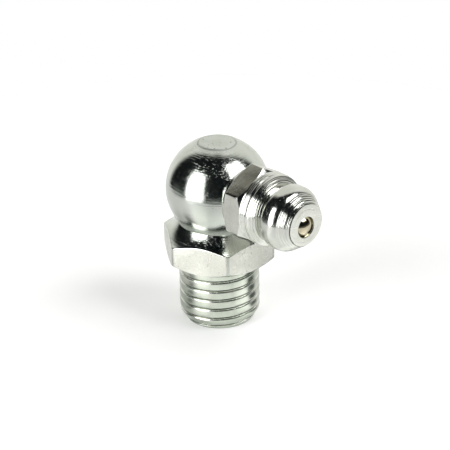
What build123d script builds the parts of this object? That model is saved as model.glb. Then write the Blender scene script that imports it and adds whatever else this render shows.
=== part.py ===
from build123d import *
import math
import os

# Angled grease nipple, 90 degree form, with an M8 x 1 stud and a hydraulic coupler head.
# Millimetres. The origin is on the thread axis, in the plane of the hexagon's seating face.
# +Z runs up through the ball-shaped elbow, and the coupler head points along +X.

# ---- Stud ---------------------------------------------------------------------------
thread_diameter = 7.85         # an M8 thread's crests, near their lower limit
stud_length = 6.5
stud_end_chamfer_depth = 0.56
stud_end_chamfer_length = 1.04

# ---- Hexagon ------------------------------------------------------------------------
hexagon_across_flats = 10.0
hexagon_turn = -3.5            # degrees about Z, from flats square to the coupler head
hexagon_corner_diameter = 11.4
hexagon_corner_height = 2.48   # top of the turned corners, above the seating face
seat_face_diameter = 9.9
underside_chamfer_height = 0.55
shoulder_hollow = 0.18         # how far the shoulder is hollowed below a straight cone

# ---- Elbow --------------------------------------------------------------------------
elbow_diameter = 10.05
elbow_centre_height = 7.25     # centre of the ball, above the seating face
coupler_axis_height = 7.45
neck_flank_angle = 26.0        # degrees, straight flank that leaves the ball above the neck
neck_flank_length = 1.17
crown_flat_diameter = 3.3
spot_face_distance = 4.0       # flat that the coupler head seats on, from the thread axis
spot_face_diameter = 6.8

# ---- Grease way ---------------------------------------------------------------------
grease_bore_diameter = 2.2
drill_point_angle = 118.0      # degrees, included
stud_mouth_chamfer = 0.3
pocket_depth = 2.4             # pocket for the coupler head's spigot, from the spot face
passage_diameter = 1.8

# ---- Coupler head, outside ----------------------------------------------------------
spigot_diameter = 4.8
spigot_end_gap = 0.1           # between the spigot's end and the floor of its pocket
spigot_end_chamfer = 0.15
seat_ring_diameter = 6.3
seat_ring_length = 0.5
root_across_flats = 6.8
root_length = 2.15
root_back_chamfer = 0.35
root_front_chamfer = 0.27
collar_diameter = 6.95
collar_length = 1.2
collar_chamfer = 0.5
waist_diameter = 5.1
waist_length = 0.3
head_diameter = 6.4
head_flank_angle = 45.0        # degrees, behind the bulge
head_land_length = 1.15
head_nose_length = 1.65
head_front_radius = 1.2
head_back_radius = 0.7
mouth_face_diameter = 4.15

# ---- Check valve --------------------------------------------------------------------
valve_drop = 0.2               # mouth, ball and spring, below the coupler head's own axis
mouth_diameter = 2.05
mouth_land_length = 0.3
mouth_edge_break = 0.06
ball_diameter = 2.5
seat_cone_angle = 60.0         # degrees, included
seat_gap = 0.02
chamber_clearance = 0.2        # radial, round the ball
spring_wire_diameter = 0.3
spring_wire_sides = 6          # the fine wire's section is kept to this many flat sides
spring_mean_diameter = 2.0
spring_turns = 6.0
spring_end_gap = 0.02

# ---- Fit and cutters ----------------------------------------------------------------
press_gap = 0.005              # radial, spigot in its pocket
cutter_margin = 1.0            # how far a cutting form reaches past what it cuts
flat_to_corner = 30.0          # degrees, from the middle of a hexagon's flat to its corner

# ---- Places along the coupler axis, from the thread axis ----------------------------
pocket_floor = spot_face_distance - pocket_depth
spigot_end = pocket_floor + spigot_end_gap
root_start = spot_face_distance + seat_ring_length
root_end = root_start + root_length
collar_end = root_end + collar_length
waist_start = collar_end + collar_chamfer
waist_end = waist_start + waist_length
head_flank_length = (head_diameter - waist_diameter) / 2 / math.tan(math.radians(head_flank_angle))
land_start = waist_end + head_flank_length
land_end = land_start + head_land_length
mouth_face = land_end + head_nose_length

seat_start = mouth_face - mouth_land_length
half_seat = math.radians(seat_cone_angle / 2)
ball_radius = ball_diameter / 2
chamber_radius = ball_radius + chamber_clearance
seat_contact_radius = ball_radius * math.cos(half_seat)
seat_contact = seat_start - (seat_contact_radius - mouth_diameter / 2) / math.tan(half_seat)
ball_centre = seat_contact - ball_radius * math.sin(half_seat) - seat_gap / math.sin(half_seat)
seat_end = seat_start - (chamber_radius - mouth_diameter / 2) / math.tan(half_seat)

coupler_axis = Axis((0, 0, coupler_axis_height), (1, 0, 0))
coupler_section = Plane(origin=(0, 0, coupler_axis_height), x_dir=(1, 0, 0), z_dir=(0, -1, 0))
coupler_end_view = Plane(origin=(0, 0, coupler_axis_height), x_dir=(0, 1, 0), z_dir=(1, 0, 0))

valve_axis_height = coupler_axis_height - valve_drop
valve_axis = Axis((0, 0, valve_axis_height), (1, 0, 0))
valve_section = Plane(origin=(0, 0, valve_axis_height), x_dir=(1, 0, 0), z_dir=(0, -1, 0))
valve_end_view = Plane(origin=(0, 0, valve_axis_height), x_dir=(0, 1, 0), z_dir=(1, 0, 0))


# ---- Body: stud, hexagon and elbow, turned from hexagon bar --------------------------
elbow_radius = elbow_diameter / 2
flank = math.radians(neck_flank_angle)
flank_top = (elbow_radius * math.cos(flank), elbow_centre_height - elbow_radius * math.sin(flank))
neck = (
    flank_top[0] - neck_flank_length * math.sin(flank),
    flank_top[1] - neck_flank_length * math.cos(flank),
)
corner_radius = hexagon_corner_diameter / 2
corner_top = (corner_radius, hexagon_corner_height)
thread_radius = thread_diameter / 2
crown_radius = crown_flat_diameter / 2
crown_height = elbow_centre_height + math.sqrt(elbow_radius**2 - crown_radius**2)

with BuildPart() as body:
    with BuildSketch(Plane.XZ):
        with BuildLine():
            Polyline(
                (0, crown_height),
                (0, -stud_length),
                (thread_radius - stud_end_chamfer_depth, -stud_length),
                (thread_radius, -stud_length + stud_end_chamfer_length),
                (thread_radius, 0),
                (seat_face_diameter / 2, 0),
                (corner_radius, underside_chamfer_height),
                corner_top,
            )
            SagittaArc(corner_top, neck, shoulder_hollow)
            Line(neck, flank_top)
            RadiusArc(flank_top, (crown_radius, crown_height), -elbow_radius)
            Line((crown_radius, crown_height), (0, crown_height))
        make_face()
    revolve(axis=Axis.Z)

    # The bar's flats, left between the seating face and the neck.
    with BuildSketch(Plane.XY):
        Circle(corner_radius + cutter_margin)
        RegularPolygon(
            hexagon_across_flats / 2, 6, major_radius=False, rotation=flat_to_corner + hexagon_turn,
            mode=Mode.SUBTRACT,
        )
    extrude(amount=neck[1], mode=Mode.SUBTRACT)

    # Flat on the side of the elbow, for the coupler head.
    with BuildSketch(coupler_end_view.offset(spot_face_distance)):
        Circle(spot_face_diameter / 2)
    extrude(amount=elbow_radius, mode=Mode.SUBTRACT)

    # Grease bore, drilled up the stud to the valve's axis.
    bore_radius = grease_bore_diameter / 2
    drill_point = bore_radius / math.tan(math.radians(drill_point_angle / 2))
    with BuildSketch(Plane.XZ):
        with BuildLine():
            Polyline(
                (0, -stud_length),
                (bore_radius + stud_mouth_chamfer, -stud_length),
                (bore_radius, -stud_length + stud_mouth_chamfer),
                (bore_radius, valve_axis_height + bore_radius),
                (0, valve_axis_height + bore_radius + drill_point),
                close=True,
            )
        make_face()
    revolve(axis=Axis.Z, mode=Mode.SUBTRACT)

    # Spigot pocket and the passage from its floor into the bore.
    with BuildSketch(coupler_end_view.offset(pocket_floor)):
        Circle(spigot_diameter / 2 + press_gap)
    extrude(amount=pocket_depth, mode=Mode.SUBTRACT)
    with BuildSketch(valve_end_view):
        Circle(passage_diameter / 2)
    extrude(amount=pocket_floor, mode=Mode.SUBTRACT)
body.part.label = "body"


# ---- Coupler head: one turned piece, pressed into the elbow --------------------------
root_corner_radius = root_across_flats / 2 / math.cos(math.radians(flat_to_corner))
mouth_radius = mouth_diameter / 2

with BuildPart() as nipple_head:
    with BuildSketch(coupler_section) as head_section:
        with BuildLine():
            Polyline(
                (spigot_end, 0),
                (spigot_end, spigot_diameter / 2 - spigot_end_chamfer),
                (spigot_end + spigot_end_chamfer, spigot_diameter / 2),
                (spot_face_distance, spigot_diameter / 2),
                (spot_face_distance, seat_ring_diameter / 2),
                (root_start, seat_ring_diameter / 2),
                (root_start, root_across_flats / 2),
                (root_start + root_back_chamfer, root_corner_radius),
                (root_end - root_front_chamfer, root_corner_radius),
                (root_end, collar_diameter / 2),
                (collar_end, collar_diameter / 2),
                (waist_start, collar_diameter / 2 - collar_chamfer),
                (waist_start, waist_diameter / 2),
                (waist_end, waist_diameter / 2),
                (land_start, head_diameter / 2),
                (land_end, head_diameter / 2),
                (mouth_face, mouth_face_diameter / 2),
                (mouth_face, 0),
                close=True,
            )
        make_face()
        bulge_back = head_section.vertices().filter_by_position(Axis.X, land_start, land_start)
        fillet(bulge_back, head_back_radius)
        bulge_front = head_section.vertices().filter_by_position(Axis.X, land_end, land_end)
        fillet(bulge_front, head_front_radius)
    revolve(axis=coupler_axis)

    # Flats of the root hexagon, with two corners in line with the thread axis.
    with BuildSketch(coupler_end_view.offset(root_start)):
        Circle(root_corner_radius + cutter_margin)
        RegularPolygon(
            root_across_flats / 2, 6, major_radius=False, rotation=flat_to_corner,
            mode=Mode.SUBTRACT,
        )
    extrude(amount=root_length, mode=Mode.SUBTRACT)

    # Mouth, ball seat and the chamber that holds ball and spring, open at the spigot.
    with BuildSketch(valve_section):
        with BuildLine():
            Polyline(
                (mouth_face, 0),
                (mouth_face, mouth_radius + mouth_edge_break),
                (mouth_face - mouth_edge_break, mouth_radius),
                (seat_start, mouth_radius),
                (seat_end, chamber_radius),
                (spigot_end, chamber_radius),
                (spigot_end, 0),
                close=True,
            )
        make_face()
    revolve(axis=valve_axis, mode=Mode.SUBTRACT)
nipple_head.part.label = "nipple_head"


# ---- Check ball ----------------------------------------------------------------------
with BuildPart() as check_ball:
    with Locations((ball_centre, 0, valve_axis_height)):
        Sphere(ball_radius)
check_ball.part.label = "check_ball"


# ---- Spring: from the pocket's floor to the back of the ball -------------------------
wire_radius = spring_wire_diameter / 2
coil_inner_radius = (spring_mean_diameter - spring_wire_diameter) / 2
spring_rear = pocket_floor + spring_end_gap
ball_back = ball_centre - math.sqrt(ball_radius**2 - coil_inner_radius**2)
spring_front = ball_back - spring_end_gap
spring_length = spring_front - spring_rear

with BuildPart() as spring:
    with BuildLine() as wire_line:
        Helix(
            pitch=spring_length / spring_turns,
            height=spring_length,
            radius=spring_mean_diameter / 2,
            center=(spring_rear, 0, valve_axis_height),
            direction=(1, 0, 0),
        )
    with BuildSketch(Plane(origin=wire_line.line @ 0, z_dir=wire_line.line % 0)):
        RegularPolygon(wire_radius, spring_wire_sides)
    sweep(is_frenet=True)

    # Both ends are ground flat.
    with BuildSketch(valve_end_view.offset(spring_rear)):
        Circle(spring_mean_diameter / 2 + spring_wire_diameter)
    extrude(amount=spring_length, mode=Mode.INTERSECT)
spring.part.label = "spring"


os.makedirs("parts", exist_ok=True)
export_step(body.part, "parts/body.step")
export_step(nipple_head.part, "parts/nipple_head.step")
export_step(check_ball.part, "parts/check_ball.step")
export_step(spring.part, "parts/spring.step")
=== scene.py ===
"""Visual model of an angled grease nipple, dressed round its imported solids."""

import logging
import math
from dataclasses import dataclass, field
from enum import Enum
from typing import Callable, Sequence

import bmesh
import bpy
from mathutils import Matrix, Vector


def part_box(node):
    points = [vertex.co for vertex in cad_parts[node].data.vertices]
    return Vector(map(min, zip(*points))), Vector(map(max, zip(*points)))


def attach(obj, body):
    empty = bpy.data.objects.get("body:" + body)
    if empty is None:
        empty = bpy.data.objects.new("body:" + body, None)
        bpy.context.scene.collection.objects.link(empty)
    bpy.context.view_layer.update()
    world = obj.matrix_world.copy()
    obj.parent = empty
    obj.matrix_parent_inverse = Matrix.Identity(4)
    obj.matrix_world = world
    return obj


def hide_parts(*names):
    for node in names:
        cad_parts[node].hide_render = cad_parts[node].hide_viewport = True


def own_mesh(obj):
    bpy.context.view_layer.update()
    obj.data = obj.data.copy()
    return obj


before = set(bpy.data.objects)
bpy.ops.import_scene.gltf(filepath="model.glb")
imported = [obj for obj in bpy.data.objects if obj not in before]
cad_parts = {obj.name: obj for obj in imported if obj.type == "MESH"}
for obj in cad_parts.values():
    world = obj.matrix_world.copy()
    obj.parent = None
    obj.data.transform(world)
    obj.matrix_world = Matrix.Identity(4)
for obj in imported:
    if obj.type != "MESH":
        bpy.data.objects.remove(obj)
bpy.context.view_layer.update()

MM = 0.001
# Vertex channel: above 0 rubbed wear, below 0 painted shade in roots and grooves.
WEAR_AND_SHADE = "edge_wear_and_shade"
MOST_OF_SIDE = 0.45  # no rounding takes more than this share of a side

COUPLER_HEIGHT = 7.45
COUPLER_PLACE = Matrix(((0, 0, 1, 0), (0, -1, 0, 0), (1, 0, 0, COUPLER_HEIGHT), (0, 0, 0, 1)))
VALVE_DROP = 0.2
VALVE_PLACE = Matrix.Translation((0, 0, -VALVE_DROP)) @ COUPLER_PLACE

log = logging.getLogger("grease_nipple")

Point = tuple[float, float]
Row = tuple[float, float, float]
Outline = list[Row]
Colour = tuple[float, float, float]
Piece = bpy.types.Object
Material = bpy.types.Material
Tree = bpy.types.NodeTree
Node = bpy.types.Node
Socket = bpy.types.NodeSocket


# ---- Modelling helpers -----------------------------------------------------------------

def deselect_all() -> None:
    """Leaves object mode with nothing selected."""
    if bpy.context.object and bpy.context.object.mode != "OBJECT":
        bpy.ops.object.mode_set(mode="OBJECT")
    bpy.ops.object.select_all(action="DESELECT")


def pick(piece: Piece) -> None:
    """Makes one object the only selected and the active one.

    Args:
        piece: the object that the next operators act on.
    """
    deselect_all()
    piece.select_set(True)
    bpy.context.view_layer.objects.active = piece


def edit(piece: Piece, action: str = "SELECT") -> None:
    """Opens one piece in edit mode, with all of it selected or none of it.

    Args:
        piece: the object to open.
        action: SELECT for all of it, DESELECT for none of it.
    """
    pick(piece)
    bpy.ops.object.mode_set(mode="EDIT")
    bpy.ops.mesh.select_all(action=action)


def apply_modifier(piece: Piece, kind: str, **settings: object) -> None:
    """Adds a modifier to a piece, sets its values and applies it.

    Args:
        piece: the object to change.
        kind: Blender's name for the modifier.
        settings: the modifier's own values.
    """
    pick(piece)
    bpy.ops.object.modifier_add(type=kind)
    modifier = piece.modifiers[-1]
    for key, value in settings.items():
        setattr(modifier, key, value)
    bpy.ops.object.modifier_apply(modifier=modifier.name)


def combine(piece: Piece, tool: Piece, operation: str) -> None:
    """Adds (UNION) or cuts away (DIFFERENCE) a closed form, which is then deleted."""
    apply_modifier(piece, "BOOLEAN", operation=operation, object=tool, solver="EXACT")
    bpy.data.objects.remove(tool)


def clean(piece: Piece, gap: float = 1e-4) -> None:
    """Merges vertices closer than the gap and turns every face outwards.

    Args:
        piece: the object to clean, in object mode afterwards.
        gap: vertices closer than this are merged.
    """
    edit(piece)
    bpy.ops.mesh.remove_doubles(threshold=gap)
    bpy.ops.mesh.normals_make_consistent(inside=False)
    bpy.ops.object.mode_set(mode="OBJECT")


def turn_to(piece: Piece, place: Matrix) -> None:
    """Moves a piece's mesh by a matrix and leaves its object at the origin, unturned.

    Args:
        piece: the object to move.
        place: the turn and shift.
    """
    pick(piece)
    piece.matrix_world = place
    bpy.ops.object.transform_apply(location=True, rotation=True, scale=True)


def seat(piece: Piece, place: Matrix, smooth_angle: float = 28.0) -> None:
    """Puts a piece that was modelled in millimetres where it belongs, in metres.

    Args:
        piece: the finished mesh, in its own millimetre frame.
        place: the turn and shift from that frame to the nipple's, in millimetres.
        smooth_angle: edges sharper than this stay sharp, in degrees.
    """
    turn_to(piece, Matrix.Scale(MM, 4) @ place)
    bpy.ops.object.shade_smooth_by_angle(angle=math.radians(smooth_angle))
    apply_modifier(piece, "WEIGHTED_NORMAL", keep_sharp=True, weight=80)


def wind(piece: Piece, pitch: float, steps: int, span: Point, lead: float, merge: bool) -> None:
    """Winds an outline that starts at height 0 up a screw about Z, and cuts it to length.

    Args:
        piece: the outline.
        pitch: rise of one turn.
        steps: segments of one turn.
        span: heights of the lower and the upper cut.
        lead: turns wound beyond each cut.
        merge: whether neighbouring turns are one skin.
    """
    low, high = span
    apply_modifier(piece, "SCREW", axis="Z", angle=math.tau, screw_offset=pitch, steps=steps,
                   render_steps=steps, iterations=math.ceil((high - low) / pitch + 2 * lead),
                   use_merge_vertices=merge, merge_threshold=1e-4)
    edit(piece)
    bpy.ops.transform.translate(value=(0.0, 0.0, low - lead * pitch))
    for height, keep_up in ((low, True), (high, False)):
        bpy.ops.mesh.select_all(action="SELECT")
        bpy.ops.mesh.bisect(plane_co=(0, 0, height), plane_no=(0, 0, 1), use_fill=True,
                            clear_inner=keep_up, clear_outer=not keep_up)
    clean(piece)


def between(start: Point, end: Point, share: float) -> Point:
    """The point at a share of the way from start to end."""
    return (start[0] + share * (end[0] - start[0]), start[1] + share * (end[1] - start[1]))


def even_steps(start: float, end: float, steps: int) -> list[float]:
    """Evenly spaced values from start to end, both included."""
    return [start + (end - start) * i / steps for i in range(steps + 1)]


def even_angles(count: int) -> list[float]:
    """The angles of evenly spaced columns round a full turn."""
    return [math.tau * i / count for i in range(count)]


def arc(centre: Point, radius: float, angles: Sequence[float], wear_and_shade: float = 0.0) -> Outline:
    """Rows on a circle, one for each angle from the radial, in degrees."""
    return [(centre[0] + radius * math.cos(math.radians(angle)),
             centre[1] + radius * math.sin(math.radians(angle)), wear_and_shade) for angle in angles]


def plain(corners: Sequence[Point]) -> Outline:
    """Rows without wear."""
    return [(*corner, 0.0) for corner in corners]


def softened(corner: Point, before: Point, after: Point, reach: float, wear_and_shade: float,
             steps: int = 4) -> Outline:
    """Rounds one corner of an outline.

    Args:
        corner: the sharp corner.
        before: the outline's point before it.
        after: the outline's point after it.
        reach: how far the rounding runs along each side.
        wear_and_shade: how bright the edge is rubbed, from 0 to 1.
        steps: segments of the rounding.

    Returns:
        The points of the rounding, in order.
    """
    def towards(target: Point) -> Point:
        """Where the rounding meets the side that runs to the target."""
        side = math.dist(corner, target)
        return between(corner, target, min(reach / side, MOST_OF_SIDE) if side else 0.0)

    start, end = towards(before), towards(after)
    rows: Outline = []
    for t in even_steps(0.0, 1.0, steps):
        weights = ((1 - t) ** 2, 2 * t * (1 - t), t**2)
        r, z = (sum(w * p[i] for w, p in zip(weights, (start, corner, end))) for i in (0, 1))
        rows.append((r, z, wear_and_shade * 4 * t * (1 - t)))
    return rows


@dataclass(frozen=True)
class Corner:
    """A corner of an outline.

    Attributes:
        radius: its distance from the form's axis.
        height: its place along that axis.
        rounding: how far its rounding runs along each side, 0 for a sharp corner.
        wear_and_shade: how bright it is rubbed, up to 1, or how dark its painted shade is, down to
            -1.
    """

    radius: float
    height: float
    rounding: float = 0.0
    wear_and_shade: float = 0.0

    @property
    def place(self) -> Point:
        """Its radius and height."""
        return (self.radius, self.height)


def rounded(*corners: Corner) -> Outline:
    """Joins corners to an outline and rounds those that have a rounding.

    Args:
        corners: the outline's corners, in order, the first and the last of them sharp.

    Returns:
        The rows of the outline.
    """
    rows: Outline = []
    for i, corner in enumerate(corners):
        if corner.rounding:
            rows += softened(corner.place, corners[i - 1].place, corners[i + 1].place,
                             corner.rounding, corner.wear_and_shade)
        else:
            rows.append((*corner.place, corner.wear_and_shade))
    return rows


@dataclass
class RingForm:
    """A form about its own Z axis, extruded ring by ring from a circle.

    Attributes:
        name: the new object's name.
        columns: angles of the ring's vertices, in radians.
        outline: gives the rows (radius, height, wear and painted shade) of the column at an angle.
        hollow: the last ring joins the first, instead of both ends being filled.
    """

    name: str
    columns: list[float]
    outline: Callable[[float], Outline]
    hollow: bool = False

    def build(self) -> Piece:
        """Extrudes the rings and closes the form.

        Returns:
            The new object, in millimetres.
        """
        rows = [self.outline(angle) for angle in self.columns]
        deselect_all()
        bpy.ops.mesh.primitive_circle_add(
            vertices=len(self.columns), radius=rows[0][0][0],
            fill_type="NOTHING" if self.hollow else "NGON")
        piece = bpy.context.object
        piece.name = self.name
        bpy.ops.object.mode_set(mode="EDIT")
        mesh = bmesh.from_edit_mesh(piece.data)
        column = mesh.verts.layers.int.new("column")
        mesh.verts.layers.float.new(WEAR_AND_SHADE)
        for i, vertex in enumerate(mesh.verts):
            vertex[column] = i
        for row in range(len(rows[0])):
            if row:
                bpy.ops.mesh.extrude_region_move()
            self._place_ring(piece, rows, row)
        if self.hollow:
            bpy.ops.mesh.select_mode(type="EDGE")
            bpy.ops.mesh.select_all(action="DESELECT")
            bpy.ops.mesh.select_non_manifold()
            bpy.ops.mesh.bridge_edge_loops()
        bpy.ops.object.mode_set(mode="OBJECT")
        piece.data.attributes.remove(piece.data.attributes["column"])
        clean(piece)
        return piece

    def _place_ring(self, piece: Piece, rows: list[Outline], row: int) -> None:
        """Sets the selected ring to one row of the outlines.

        Args:
            piece: the object, in edit mode.
            rows: every column's outline.
            row: which row the ring gets.
        """
        mesh = bmesh.from_edit_mesh(piece.data)
        column = mesh.verts.layers.int["column"]
        wear_and_shade = mesh.verts.layers.float[WEAR_AND_SHADE]
        for vertex in mesh.verts:
            if vertex.select:
                i = vertex[column]
                radius, height, vertex[wear_and_shade] = rows[i][row]
                angle = self.columns[i]
                vertex.co = (radius * math.cos(angle), radius * math.sin(angle), height)
        bmesh.update_edit_mesh(piece.data)


# ---- Finishes --------------------------------------------------------------------------

class Axis(Enum):
    """The axis that a piece was turned about."""

    STUD = "stud"
    COUPLER = "coupler"


class NodeSheet:
    """Adds and wires nodes on one node tree."""

    def __init__(self, tree: Tree) -> None:
        """Takes the node tree to work on."""
        self.tree = tree

    def add(self, kind: str, inputs: dict | None = None, **settings: object) -> Node:
        """Adds a node, given its inputs by name or number and its own settings.

        Args:
            kind: the node type, without its ShaderNode prefix.
            inputs: values or sockets for its inputs, by name or number.
            settings: the node's own properties.

        Returns:
            The new node.
        """
        node = self.tree.nodes.new("ShaderNode" + kind)
        for key, value in settings.items():
            setattr(node, key, value)
        for key, value in (inputs or {}).items():
            self.feed(value, node.inputs[key])
        return node

    def feed(self, value: object, socket: Socket) -> None:
        """Wires a socket to an input, or sets the input to a constant.

        Args:
            value: a socket or a constant.
            socket: the input.
        """
        if isinstance(value, Socket):
            self.tree.links.new(value, socket)
        else:
            socket.default_value = value

    def math(self, operation: str, *values: object, clamp: bool = False) -> Socket:
        """Adds a Math node and returns its output."""
        node = self.add("Math", dict(enumerate(values)), operation=operation, use_clamp=clamp)
        return node.outputs[0]

    def plus(self, value: object, mask: object, factor: object) -> Socket:
        """Adds mask times factor to a value and returns the sum."""
        return self.math("MULTIPLY_ADD", mask, factor, value)

    def vector(self, operation: str, *values: object) -> Socket:
        """Adds a Vector Math node and returns its vector."""
        return self.add("VectorMath", dict(enumerate(values)), operation=operation).outputs[0]

    def spread(self, value: object, low: float, high: float) -> Socket:
        """Adds a smooth Map Range, which gives 0 at low and 1 at high.

        Args:
            value: what is mapped.
            low: where the result leaves 0, which may be above high.
            high: where the result reaches 1.

        Returns:
            The result.
        """
        node = self.add("MapRange", {"Value": value, "From Min": low, "From Max": high},
                        interpolation_type="SMOOTHSTEP")
        return node.outputs["Result"]

    def noise(self, vector: object, scale: float, detail: float = 2.0,
              roughness: float = 0.5) -> Socket:
        """Adds a Noise texture and returns its value.

        Args:
            vector: where the texture is read.
            scale: its scale, a step of the vector being 1 / scale.
            detail: how many finer layers it has.
            roughness: how strong those layers are.

        Returns:
            The value, mostly between 0.3 and 0.7.
        """
        node = self.add("TexNoise", {"Vector": vector, "Scale": scale, "Detail": detail,
                                     "Roughness": roughness})
        return node.outputs["Fac"]

    def blend(self, share: object, first: object, second: object) -> Socket:
        """Adds a colour Mix node and returns its colour.

        Args:
            share: how much of the second colour shows.
            first: the colour at 0.
            second: the colour at 1.

        Returns:
            The mixed colour.
        """
        node = self.add("Mix", data_type="RGBA")
        sockets = {socket.identifier: socket for socket in (*node.inputs, *node.outputs)}
        for name, value in (("Factor_Float", share), ("A_Color", first), ("B_Color", second)):
            self.feed(value, sockets[name])
        return sockets["Result_Color"]


def new_group(name: str, inputs: dict[str, object],
              outputs: Sequence[str]) -> tuple[NodeSheet, Node, Node]:
    """Starts a shader node group.

    Args:
        name: the group's name.
        inputs: each input's default: None for a vector, a number for a value.
        outputs: names of the value outputs.

    Returns:
        A sheet on the group's tree, and the group's input and output nodes.
    """
    tree = bpy.data.node_groups.new(name, "ShaderNodeTree")
    for key, value in inputs.items():
        kind = "NodeSocketVector" if value is None else "NodeSocketFloat"
        socket = tree.interface.new_socket(key, in_out="INPUT", socket_type=kind)
        if value is not None:
            socket.default_value = value
    for key in outputs:
        tree.interface.new_socket(key, in_out="OUTPUT", socket_type="NodeSocketFloat")
    return NodeSheet(tree), tree.nodes.new("NodeGroupInput"), tree.nodes.new("NodeGroupOutput")


class Effects:
    """The surface effects that several finishes share, each built once as a node group."""

    def __init__(self) -> None:
        """Builds every group."""
        self.turning = self._turning()
        self.scratches = self._scratches()
        self.pits = self._pits()
        self.mottle = self._mottle()

    def _turning(self) -> Tree:
        """Fine tool marks round the Z axis: lines along a wall, rings on a face.

        Returns:
            The group's node tree.
        """
        sheet, given, out = new_group(
            "turning_marks", {"Vector": None, "Lines per mm": 8.0, "Wander": 0.03}, ["Height"])
        x, y, z = sheet.add("SeparateXYZ", {0: given.outputs["Vector"]}).outputs
        radius = sheet.math("SQRT", sheet.plus(sheet.math("MULTIPLY", x, x), y, y))
        scale = sheet.math("MULTIPLY", given.outputs["Lines per mm"], 1 / MM)
        sway = sheet.math("MULTIPLY", given.outputs["Wander"], scale)
        lines = sheet.add("CombineXYZ", {
            0: sheet.math("MULTIPLY", radius, scale),
            1: sheet.math("MULTIPLY", z, scale),
            2: sheet.math("MULTIPLY", sheet.math("ADD", x, y), sway)})
        grain = sheet.noise(lines.outputs[0], scale=1.0, detail=3.0, roughness=0.6)
        sheet.feed(grain, out.inputs["Height"])
        return sheet.tree

    def _scratches(self) -> Tree:
        """Short straight scratches in three directions.

        Returns:
            The group's node tree.
        """
        sheet, given, out = new_group("scratches", {"Vector": None, "Density": 0.5}, ["Mask"])
        total: object = 0.0
        for turn in (0.4, 1.5, 2.6):
            turned = sheet.add("Mapping", {"Vector": given.outputs["Vector"],
                                           "Rotation": (turn, 1.7 * turn, 0.6 * turn),
                                           "Scale": (1.2 / MM, 22.0 / MM, 22.0 / MM)})
            line = sheet.noise(turned.outputs[0], scale=0.35, detail=1.0)
            total = sheet.math("ADD", total, sheet.spread(line, 0.64, 0.74))
        patch = sheet.spread(sheet.noise(given.outputs["Vector"], scale=0.6 / MM), 0.35, 0.65)
        mask = sheet.math("MULTIPLY", sheet.math("MULTIPLY", total, patch),
                          given.outputs["Density"], clamp=True)
        sheet.feed(mask, out.inputs["Mask"])
        return sheet.tree

    def _pits(self) -> Tree:
        """Small scattered pits with uneven sizes.

        Returns:
            The group's node tree.
        """
        sheet, given, out = new_group(
            "pits", {"Vector": None, "Per mm": 3.0, "Amount": 0.5}, ["Mask"])
        scale = sheet.math("MULTIPLY", given.outputs["Per mm"], 1 / MM)
        cells = sheet.add("TexVoronoi", {"Vector": given.outputs["Vector"], "Scale": scale})
        chance = sheet.add("SeparateColor", {0: cells.outputs["Color"]}).outputs[0]
        widest = sheet.math("MULTIPLY", given.outputs["Amount"], 0.45)
        size = sheet.math("MULTIPLY", chance, widest)
        depth = sheet.math("SUBTRACT", size, cells.outputs["Distance"])
        sheet.feed(sheet.spread(depth, 0.0, 0.12), out.inputs["Mask"])
        return sheet.tree

    def _mottle(self) -> Tree:
        """Cloudy uneven tone of a plated surface, broad and fine.

        Returns:
            The group's node tree.
        """
        sheet, given, out = new_group(
            "mottle", {"Vector": None, "Broad per mm": 0.35, "Fine per mm": 4.0}, ["Broad", "Fine"])
        for name, low, high in (("Broad", 0.35, 0.65), ("Fine", 0.3, 0.7)):
            scale = sheet.math("MULTIPLY", given.outputs[f"{name} per mm"], 1 / MM)
            cloud = sheet.noise(given.outputs["Vector"], scale, detail=4.0)
            sheet.feed(sheet.spread(cloud, low, high), out.inputs[name])
        return sheet.tree


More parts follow.
